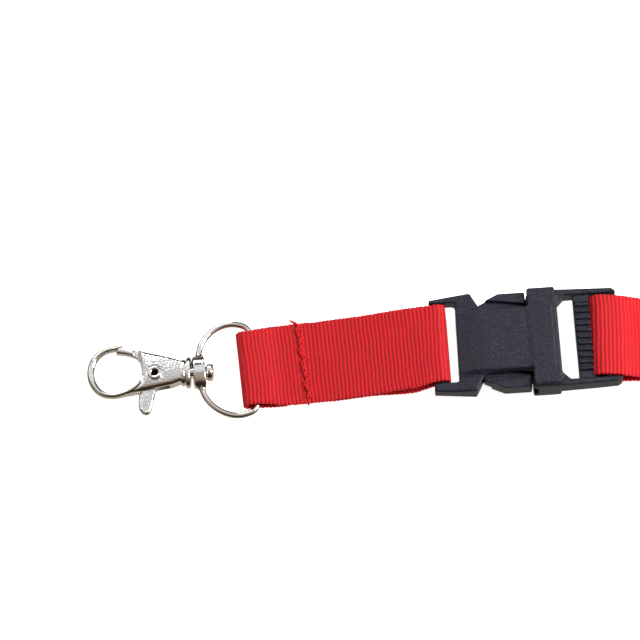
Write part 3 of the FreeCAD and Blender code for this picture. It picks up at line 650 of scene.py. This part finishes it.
def make_ring():
    """Round wire bent to a D, cast together with the oval boss of the swivel."""
    x, y, z = points = grid((-18.2, -16.0, -3.8), (1.8, 16.0, 3.8), 0.14)
    spots = [(0, 0), (0, 5.5), (0, 10.2), (-0.45, 12.2), (-2.2, 13.6), (-5.6, 14.2),
             (-9.0, 13.4), (-12.2, 11.3), (-14.5, 8.3), (-15.6, 4.6), (-15.8, 0)]
    other = [(u, -v) for u, v in spots[-2:0:-1]]
    ring = wire([(u, v, WIRE_RADIUS, WIRE_RADIUS) for u, v in spots + other], x, y, z, closed=True)
    along = x + RING_DEPTH
    boss = slab(oval(y, z, 4.85, 3.0), along + 0.12, 1.68, 0.4)
    rim = slab(oval(y, z, 5.0, 3.15), along - 1.25, 0.34, 0.3)
    bore = rod(y, z, 1.75, along, -4, 4)
    body = carve(merge(merge(ring, boss, 0.9), rim, 0.4), bore, 0.3)
    return skin("swivel_ring", points, body, RING)


# ---------------------------------------------------------------- snap hook
PIVOT = HOOK.inverted() @ anchor("gate_pivot")
GATE_REACH = 13.5


def make_hook():
    """Cast body: collar, two cheeks with the lever between them, and the round-wire ring."""
    x, y, z = points = grid((-34, -9.2, -3.9), (-1.8, 10.2, 3.9), 0.13)
    flange = slab(oval(y, z, 4.7, 3.0), x + 3.1, 0.72, 0.5)
    second = slab(oval(y, z, 4.0, 2.8), x + 4.55, 0.62, 0.45)
    neck = slab(oval(y, z, 3.3, 2.5), x + 3.9, 1.2, 0.3)
    outline = [(-4.6, 3.05), (-8.45, 4.45), (-12.5, 5.55), (-15.2, 6.25), (-17.6, 6.85),
               (-17.2, 5.0), (-16.2, 2.6), (-15.7, 0.0), (-16.2, -2.6), (-17.9, -4.7),
               (-20.2, -5.9), (-20.4, -6.6), (-17.1, -6.0), (-12.4, -5.1), (-7.7, -4.2),
               (-4.6, -3.0)]
    top = 1.85 + 0.75 * np.clip(1 - (y / 6) ** 2, 0, 1)
    crown = np.where(z > 0, top, 2.05)
    cheeks = slab(polygon(x, y, outline), z, crown, 1.2)
    ring = wire([
        (-22.4, 8.05, 0.85, 1.2), (-24.6, 7.75, 0.85, 1.2), (-27.2, 7.2, 0.9, 1.2),
        (-29.6, 5.6, 1.0, 1.2), (-31.2, 2.9, 1.08, 1.2), (-31.5, -0.6, 1.08, 1.2),
        (-30.4, -3.7, 1.05, 1.2), (-28.2, -6.0, 0.95, 1.2), (-24.9, -6.85, 0.82, 1.25),
        (-21.4, -6.15, 0.85, 1.6), (-18.6, -4.95, 0.8, 2.2), (-16.75, -3.0, 0.65, 2.5),
        (-16.1, -0.3, 0.6, 2.55), (-16.5, 2.6, 0.62, 2.5), (-17.25, 5.2, 0.65, 2.4),
        (-17.5, 6.3, 0.55, 2.1)], x, y, z)
    collar = merge(merge(flange, second, 0.15), neck, 0.3)
    body = merge(merge(cheeks, collar, 0.5), ring, 0.3)
    from_pivot = np.hypot(x - PIVOT.x, y - PIVOT.y)
    gate_way = np.maximum(np.maximum(from_pivot - GATE_REACH - 0.2, 3.2 - y), x + 17.8)
    slot = block(points, (-18.2, -12, -1.05), (-8.4, 12, 1.05), 0.25)
    slot = np.maximum(slot, -6 - y)
    bore = rod(x - PIVOT.x, y - PIVOT.y, 1.35, z, -5, 5)
    seat = np.hypot(from_pivot - 2.3, z - 2.75) - 0.34
    for tool in (gate_way, slot, bore, seat):
        body = carve(body, tool, 0.12)
    return skin("hook_casting", points, body, HOOK)


def make_lever():
    """Gate arm, its thin web between the cheeks, hub and thumb tab."""
    x, y, z = points = grid((-26.5, -14, -2.0), (-8.6, 9.8, 2.0), 0.12)
    from_pivot = np.hypot(x - PIVOT.x, y - PIVOT.y)
    arm = polygon(x, y, [(-18.6, 6.75), (-21.2, 7.6), (-23.4, 8.25), (-26, 8.6), (-25.6, 6.3),
                         (-21.8, 5.75), (-18.9, 5.0)])
    arm = slab(arm, z, 1.25, 0.85)
    arm = np.maximum(arm, from_pivot - GATE_REACH)
    web = polygon(x, y, [(-9.5, 1.5), (-13.8, 4.9), (-17.8, 6.6), (-19.6, 7.2), (-19.8, 5.3),
                         (-18.3, 4.6), (-16.9, 3.0), (-15.7, 0.6), (-15.2, -1.5)])
    web = slab(web, z, 0.85, 0.25)
    tab = polygon(x, y, [(-15.8, -2.0), (-16.7, -5.2), (-17.35, -6.8), (-17.5, -9.8),
                         (-17.2, -11.3), (-16.4, -12.5), (-15.3, -13.0), (-14.3, -12.7),
                         (-13.7, -11.6), (-13.0, -8.8), (-12.6, -6.1), (-10.4, -3.0)])
    crown = 0.80 + 0.16 * np.clip(1 - ((x + 15.4) / 2.4) ** 2, 0, 1)
    tab = slab(tab, z, crown, 0.66)
    hub = slab(from_pivot - 3.4, z, 0.85, 0.2)
    body = merge(merge(merge(hub, web, 0.4), tab, 0.5), arm, 0.25)
    body = carve(body, rod(x - PIVOT.x, y - PIVOT.y, 1.45, z, -5, 5), 0.1)
    pocket = rod(x - PIVOT.x, y - PIVOT.y, 2.15, z, -0.25, 3)
    return skin("thumb_lever", points, carve(body, pocket, 0.05), HOOK)


def make_rivet():
    """Tubular rivet with a rolled head on each side, closed near its lower end."""
    x, y, z = points = grid((PIVOT.x - 2.6, PIVOT.y - 2.6, -3.6),
                            (PIVOT.x + 2.6, PIVOT.y + 2.6, 3.6), 0.09)
    from_pivot = np.hypot(x - PIVOT.x, y - PIVOT.y)
    shank = slab(np.abs(from_pivot - 1.13) - 0.2, z - 0.35, 2.5, 0.1)
    level = np.where(z > 0, (z - 2.75) / 0.5, (z + 2.1) / 0.35)
    head = (np.hypot((from_pivot - 1.5) / 0.6, level) - 1) * 0.4
    end = rod(x - PIVOT.x, y - PIVOT.y, 1.1, z, -2.1, -1.2, 0.1)
    return skin("lever_rivet", points, merge(merge(shank, head, 0.2), end, 0.1), HOOK)


def make_swivel_pin():
    """Headed pin through the boss, fixed in the hook's collar."""
    x, y, z = points = grid((-6.2, -3.1, -3.1), (4.7, 3.1, 3.1), 0.1)
    shank = rod(y, z, 1.5, x, -5.6, 2.6, 0.2)
    waist = rod(y, z, 1.75, x, 1.4, 2.35, 0.3)
    head = rod(y, z, 2.6, x, 2.15, 4.1, 0.7)
    return skin("swivel_pin", points, merge(merge(shank, waist, 0.2), head, 0.2), HOOK)


# ---------------------------------------------------------------- webbing
def evenly(line, spacing):
    """A polyline with points at even steps along it, and their distances from its start."""
    gone = np.concatenate([[0], np.cumsum(np.linalg.norm(np.diff(line, axis=0), axis=1))])
    marks = np.linspace(0, gone[-1], max(int(gone[-1] / spacing), 2) + 1)
    return np.stack([np.interp(marks, gone, column) for column in line.T], 1), marks


def bend(centre, radius, start, end, count=9):
    """Points of an arc, angles in degrees, anticlockwise from +X."""
    angles = np.radians(np.linspace(start, end, count))
    return [(centre[0] + radius * math.cos(a), centre[1] + radius * math.sin(a)) for a in angles]


def follow(line, marks, travel, closed):
    """Places on a line at some distances along it, and the line's unit normals there."""
    length = marks[-1]
    if closed:
        length = length + np.linalg.norm(line[0] - line[-1])
        line = np.vstack([line, line[:1]])
        marks = np.append(marks, length)
    else:
        travel = np.clip(travel, 0, length)

    def place(distance):
        if closed:
            distance = np.mod(distance, length)
        return np.stack([np.interp(distance, marks, column) for column in line.T])

    little = 0.25
    slope = place(travel + little) - place(travel - little)
    slope = slope / np.maximum(np.hypot(*slope), 1e-6)
    return place(travel), np.stack([-slope[1], slope[0]])


def ribbon_faces(rows, lanes, closed):
    """Faces round a flat tube of some rows; an open one has both ends capped."""
    around = 2 * lanes - 2
    index = np.arange(rows * around).reshape(rows, around)
    beside = np.roll(index, -1, 1)
    if closed:
        quads = np.stack([index, np.roll(index, -1, 0), np.roll(beside, -1, 0), beside], 2)
        return quads.reshape(-1, 4).tolist()
    quads = np.stack([index[:-1], index[1:], beside[1:], beside[:-1]], 2)
    faces = quads.reshape(-1, 4).tolist()
    for row, order in ((index[0].tolist(), 1), (index[-1].tolist(), -1)):
        for k in range(lanes - 1):
            corners = [row[k], row[k + 1], row[(-k - 1) % around], row[(-k) % around]]
            faces.append(list(dict.fromkeys(corners))[::order])
    return faces


BEVEL = 0.42
UNDERSIDE = 7


def ribbon(name, line, marks, half_width, thickness, matrix, wander, shift, across,
           closed=False, pitch=RIB_PITCH, groove=0.21, swap=False):
    """Ribbed webbing along a line in a frame's XZ plane.

    wander(s, y) slides the ribs along the strap; shift(s, y) moves it along X and sideways.
    swap puts the line in the YZ plane and the width along X, for a band around something. The
    weave attribute's third value gives the underside its own noise.
    """
    edge = half_width - BEVEL + BEVEL * np.array([0.45, 0.8, 1.0])
    inner = np.linspace(-1, 1, across) * (half_width - BEVEL)
    lanes = np.concatenate([-edge[::-1], inner, edge])
    past = np.maximum(np.abs(lanes) - half_width + BEVEL, 0) / BEVEL
    depth = np.sqrt(np.clip(1 - past ** 2, 0, 1))
    s = marks[:, None]
    y = lanes[None, :]
    rib = np.abs(np.sin(math.pi * s / pitch))
    half = (thickness / 2 - groove * (1 - rib ** 0.8)) * depth
    place, normal = follow(line, marks, s + wander(s, y), closed)
    ruffle = (0.22 * rib + 0.05 * np.sin(s * 2.3) * np.sin(s * 0.71)) / half_width
    selvedge = np.abs(y) > half_width - BEVEL * 1.5
    skew, aside = shift(s, y)
    along = place[0] + skew
    wide = y * (1 + ruffle * selvedge) + aside
    top = np.stack([along + normal[0] * half, wide, place[1] + normal[1] * half], 2)
    under = np.stack([along - normal[0] * half, wide, place[1] - normal[1] * half], 2)
    spots = np.concatenate([top, under[:, -2:0:-1]], 1)
    if swap:
        spots = spots[:, :, [1, 0, 2]]
    weave = np.zeros(spots.shape)
    weave[:, :, 0] = s
    weave[:, :, 1] = np.concatenate([lanes, lanes[-2:0:-1]])
    weave[:, len(lanes):, 2] = UNDERSIDE
    faces = ribbon_faces(len(marks), len(lanes), closed)
    return solid(name, spots.reshape(-1, 3), faces, matrix, weave.reshape(-1, 3))


LOWER_LENGTH = (Vector((RING_BAR.x, RING_BAR.y)) - Vector((SOCKET_BAR.x, LOWER_SHIFT))).length
WEB = 1.1
STRAP_HALF = 12.25

# X of the seams, each in its strap's own frame.
SEAM = -39.6
NECK_SEAM = 18.6


def lower_route():
    """Path of the sewn strap, X and Z: one end, socket bar, top layer, D-ring fold, other end."""
    bar = -LOWER_LENGTH
    fold = bar - 2.0
    points = [(-43.4, 0.85), (-39, 0.85), (-32, 0.85), (-24, 0.9), (-16, 1.15), (-9, 1.65)]
    points += bend((0, MID), 2.3, -112, 100, 12)
    points += [(-3.4, 6.75), (-7.5, 6.3), (-14, 5.55), (-21, 4.8), (-28, 4.1), (-34, 3.55),
               (-38.2, 3.2), (-42.5, 3.15), (-46.5, 3.1), (-50.5, 3.75), (bar, 4.05)]
    points += bend((fold, RING_BAR.z), 1.68, 90, 270, 9)
    points += [(bar, 0.74), (-50, 0.78), (-46.6, 0.98), (-44.2, 1.65), (-41.5, 2.0), (-36.4, 2.0)]
    return np.array(points)


def soften(line, passes, closed=False):
    """Evens out the small kinks between given points, and gives the line back."""
    for _ in range(passes):
        if closed:
            line = (np.roll(line, 1, 0) + 2 * line + np.roll(line, -1, 0)) / 4
        else:
            line[1:-1] = (line[:-2] + 2 * line[1:-1] + line[2:]) / 4
    return line


def make_lower_strap():
    """The sewn strap and its length. Its layers lie a little askew, one beside the other."""
    line, _ = evenly(curve(lower_route(), 12), 0.1)
    line, marks = evenly(soften(line, 20), RIB_PITCH / 6)
    seam_mark = marks[np.argmin(np.hypot(line[:, 0] - SEAM, line[:, 1] - 3.2))]
    along = line[:, 0]
    order = np.arange(len(along))
    on_top = (order > np.argmax(along)) & (order < np.argmin(along))
    middle = np.clip((along + 52) / 8, 0, 1) * np.clip((-10 - along) / 14, 0, 1)
    below = np.where(along > -25, 0.1, -0.35) + 0.75 * middle
    aside = np.where(on_top, -0.1 - 0.25 * middle, below)
    aside = np.convolve(np.pad(aside, 30, mode="edge"), np.ones(61) / 61, "valid")
    at_bar = ease((along + 9) / 8)
    at_fold = ease((9 - LOWER_LENGTH - along) / 10)

    def wander(s, y):
        near_seam = np.exp(-((s - seam_mark) / 7) ** 2)
        bow = 0.35 * np.cos(y / 12.3 * math.pi / 2) * near_seam
        return bow + 0.20 * np.sin(y * 0.16 + s * 0.05) + 0.06 * np.sin(y * 0.7 + s * 0.21)

    def shift(s, y):
        hug = np.interp(s, marks, at_bar)
        narrow = 0.08 * y * np.interp(s, marks, at_fold)
        squeeze = hug * (0.5 - 0.5 * y / STRAP_HALF) - narrow
        sideways = np.interp(s, marks, aside) + 0.06 * np.sin(s * 0.33)
        return hug * (0.040 * y - 0.08), sideways + squeeze

    piece = ribbon("short_strap", line, marks, STRAP_HALF, WEB, LOWER, wander, shift, 23)
    return piece, marks[-1]


HANK_LEFT = 22.0
HANK_RIGHT = 128.0
HANK_TOP = 13.0
HANK_BED = 0.9
LAYER_GAP = 0.6
RUNS = 4


def neck_route():
    """Closed path of the doubled neck strap: plug bar, then runs folded back on each other."""
    low = HANK_BED + LAYER_GAP + WEB / 2
    spacing = (HANK_TOP - HANK_BED - 2 * (LAYER_GAP + WEB / 2)) / (RUNS - 1)
    turn = spacing / 2
    left = HANK_LEFT + turn + LAYER_GAP + WEB / 2
    right = HANK_RIGHT - turn - LAYER_GAP - WEB / 2
    centre = [(15.0, low), (22.0, low)]
    for run in range(RUNS):
        height = low + spacing * run
        places = np.linspace(left + 4, right - 4, 8)
        if run % 2:
            places = places[::-1]
        centre += [(place, height + 0.12 * math.sin(1.3 * k + run))
                   for k, place in enumerate(places)]
        if run < RUNS - 1:
            end, start = (left, 270) if run % 2 else (right, -90)
            centre += bend((end, height + turn), turn, start, 90, 7)
    line, _ = evenly(curve(centre, 8), 0.2)
    slope = np.gradient(line, axis=0)
    slope /= np.linalg.norm(slope, axis=1)[:, None]
    normal = np.stack([-slope[:, 1], slope[:, 0]], 1)
    upper = line + normal * LAYER_GAP
    lower = line - normal * LAYER_GAP
    tip = line[-1] + slope[-1]
    loop = bend((-1.5, MID), 2.75, 265, 82, 13)
    rise = [(4.5, 6.6), (9.0, 4.85), (12.5, 3.4)]
    sink = [(10.5, 1.35), (5.5, 1.55)]
    route = loop + rise + upper.tolist() + [tuple(tip)] + lower[::-1].tolist() + sink
    return np.array(route)


def make_neck_strap():
    """The neck strap and its length, in finer steps along the part that is in view."""
    route = neck_route()
    dense, _ = evenly(np.vstack([route, route[:1]]), 0.15)
    dense = soften(dense[:-1], 24, closed=True)
    dense, marks = evenly(np.vstack([dense, dense[:1]]), 0.05)
    total = marks[-1]
    ribs = round(total / RIB_PITCH)
    pitch = total / ribs
    fine_until, fine_again = 45.0, total - 13.5
    fine = np.arange(0, ribs, 1 / 6) * pitch
    fine = fine[(fine < fine_until) | (fine > fine_again)]
    coarse = np.arange(0, ribs, 1 / 3) * pitch
    coarse = coarse[(coarse >= fine_until) & (coarse <= fine_again)]
    steps = np.sort(np.concatenate([coarse, fine]))
    line = np.stack([np.interp(steps, marks, column) for column in dense.T], 1)

    def wander(s, y):
        return 0.22 * np.sin(y * 0.17 + s * 0.05) + 0.06 * np.sin(y * 0.8 + s * 0.17)

    def shift(s, y):
        return 0 * y, 0.28 * np.sin(s * math.pi * 2 / total) + 0.10 * np.sin(s * 0.21)

    piece = ribbon("long_strap", line, steps, STRAP_HALF, WEB, NECK, wander, shift, 9,
                   closed=True, pitch=pitch)
    return piece, total


TIE_PLACE = 75.0


def make_tie():
    """Knitted elastic band round the folded strap, crosswise."""
    half, top, bed, corner = 12.95, HANK_TOP + 0.45, HANK_BED - 0.45, 1.3
    points = []
    for centre, start in (((half - corner, bed + corner), -90), ((half - corner, top - corner), 0),
                          ((corner - half, top - corner), 90),
                          ((corner - half, bed + corner), 180)):
        points += bend(centre, corner, start, start + 90, 5)
    line, _ = evenly(np.array(points + points[:1]), 0.1)
    pitch = 0.8
    line, marks = evenly(soften(line[:-1], 8, closed=True), pitch / 5)

    def wander(s, y):
        return 0 * s * y

    def shift(s, y):
        return 0 * s, 0 * y

    place = NECK @ Matrix.Translation((TIE_PLACE, 0, 0))
    return ribbon("hank_band", line, marks, 4.0, 0.75, place, wander, shift, 9,
                  closed=True, pitch=pitch, groove=0.09, swap=True)


# ---------------------------------------------------------------- stitching
def tube(points, radius):
    """Verts and faces of a closed tube with tapered ends along a few points."""
    sides = 7
    line = curve(points, 5)
    verts, faces = [], []
    last = len(line) - 1
    for index, spot in enumerate(line):
        ahead = Vector(line[min(index + 1, last)] - line[max(index - 1, 0)]).normalized()
        across = ahead.cross(Vector((0.13, 0.21, 1))).normalized()
        up = ahead.cross(across)
        taper = 0.55 if index in (0, last) else 1.0
        for side in range(sides):
            angle = math.tau * side / sides
            verts.append(Vector(spot) + (across * math.cos(angle) + up * math.sin(angle))
                         * radius * taper)
    for index in range(last):
        for side in range(sides):
            a = index * sides + side
            b = index * sides + (side + 1) % sides
            faces.append([a, a + sides, b + sides, b])
    faces.append(list(range(sides)))
    faces.append([last * sides + side for side in reversed(range(sides))])
    return [tuple(v) for v in verts], faces


def join_tubes(name, tubes, matrix):
    """One piece from the verts and faces of several tubes."""
    verts, faces = [], []
    for tube_verts, tube_faces in tubes:
        faces += [[corner + len(verts) for corner in face] for face in tube_faces]
        verts += tube_verts
    return solid(name, np.array(verts), faces, matrix)


STITCHES = 11
SEAM_HALF = 11.5


def stitch_line(seam, low, high, slant, tails=()):
    """Loose zigzag of doubled thread over the webbing's top, and the same underneath."""
    tubes = []
    span = 2 * SEAM_HALF / STITCHES
    for level, side in ((high, 1), (low, -1)):
        hidden = level - side * 0.25
        for k in range(STITCHES):
            y0 = span * k - SEAM_HALF
            y1 = y0 + span * 0.98
            sway = 0.38 * math.sin(2.4 * k) + slant * (y0 / 12)
            next_sway = 0.38 * math.sin(2.4 * (k + 1)) + slant * (y1 / 12)
            rise = side * (0.26 + 0.08 * math.sin(1.9 * k))
            for radius, offset in ((0.34, -0.26), (0.32, 0.28)):
                tubes.append(tube([
                    (seam + sway + offset, y0, hidden),
                    (seam + sway + 1.4 * offset, y0 + 0.3, level + 0.8 * rise),
                    (seam + (sway + next_sway) / 2 + 0.8 * offset, (y0 + y1) / 2, level + rise),
                    (seam + next_sway - 0.6 * offset, y1 - 0.25, level + 0.7 * rise),
                    (seam + next_sway - offset, y1 + 0.05, hidden)], radius))
    return tubes + [tube(tail, 0.26) for tail in tails]


def make_stitching():
    """The short strap's seam, with the loose ends of its thread."""
    low, high = 0.62, 3.70
    tails = [
        [(SEAM - 0.4, 11.6, high - 0.2), (SEAM - 0.9, 12.3, high + 0.1),
         (SEAM - 1.8, 12.9, high - 0.2), (SEAM - 2.7, 13.4, high - 0.5)],
        [(SEAM - 0.2, 11.2, high - 0.1), (SEAM - 1.0, 12.0, high + 0.25),
         (SEAM - 1.9, 12.6, high + 0.2), (SEAM - 2.2, 13.2, high + 0.1)],
        [(SEAM + 0.2, -11.6, high - 0.2), (SEAM + 0.3, -12.5, high - 0.1),
         (SEAM + 0.15, -13.4, high - 0.8)]]
    return join_tubes("short_strap_thread", stitch_line(SEAM, low, high, -0.5, tails), LOWER)


def make_neck_stitching():
    """The seam that closes the neck strap round the plug."""
    low, high = HANK_BED - 0.02, HANK_BED + 2 * LAYER_GAP + WEB + 0.02
    return join_tubes("long_strap_thread", stitch_line(NECK_SEAM, low, high, 0.2), NECK)


# ---------------------------------------------------------------- assembly
add_camera()
add_studio()

plastic = plastic_material()
nickel = nickel_material("nickel_polished")
cast_nickel = nickel_material("nickel_cast", (HOOK @ Vector((-18.4, 0, 0))).x * MM)
# Each webbing's first colour is the painted shade of its grooves; the neck webbing's is darker
# beside its plug bar.
red = webbing_material("red_ribbed_webbing", (0.12, 0.001, 0.003, 1), (0.64, 0.006, 0.013, 1),
                       0.42, 0.03)
neck_red = webbing_material("red_neck_webbing", (0.035, 0.001, 0.002, 1),
                            (0.66, 0.006, 0.013, 1), 0.42, 0.03, (0.38, 0.003, 0.008, 1))
band = webbing_material("black_elastic", (0.004, 0.004, 0.004, 1), (0.03, 0.03, 0.032, 1),
                        0.5, 0.1)
thread = thread_material()

finish_piece(make_socket(), plastic, "socket", "buckle_socket")
finish_piece(make_plug(), plastic, "plug", "buckle_plug")
for prong_name, prong_side in (("far_prong", 1), ("near_prong", -1)):
    finish_piece(make_prong(prong_name + "_button", prong_side), plastic, prong_name,
                 prong_name)
finish_piece(make_ring(), nickel, "d_ring", "d_ring")
finish_piece(make_hook(), cast_nickel, "hook", "hook_body")
finish_piece(make_lever(), cast_nickel, "gate_lever", "gate_lever")
finish_piece(make_rivet(), rivet_material(), "hook", "gate_rivet")
finish_piece(make_swivel_pin(), nickel, "hook", "swivel_rivet")

short_strap, short_length = make_lower_strap()
finish_piece(short_strap, red, "lower_strap", "lower_strap")
finish_piece(make_stitching(), thread, "lower_strap", "lower_strap_stitching")

long_strap, long_length = make_neck_strap()
finish_piece(long_strap, neck_red, "neck_strap", "neck_strap")
finish_piece(make_neck_stitching(), thread, "neck_strap", "neck_strap_stitching")
finish_piece(make_tie(), band, "neck_strap", "hank_tie")

spring = frame["nodes"]["gate_spring"]
spring.data.materials.clear()
spring.data.materials.append(spring_material())

bpy.context.view_layer.update()
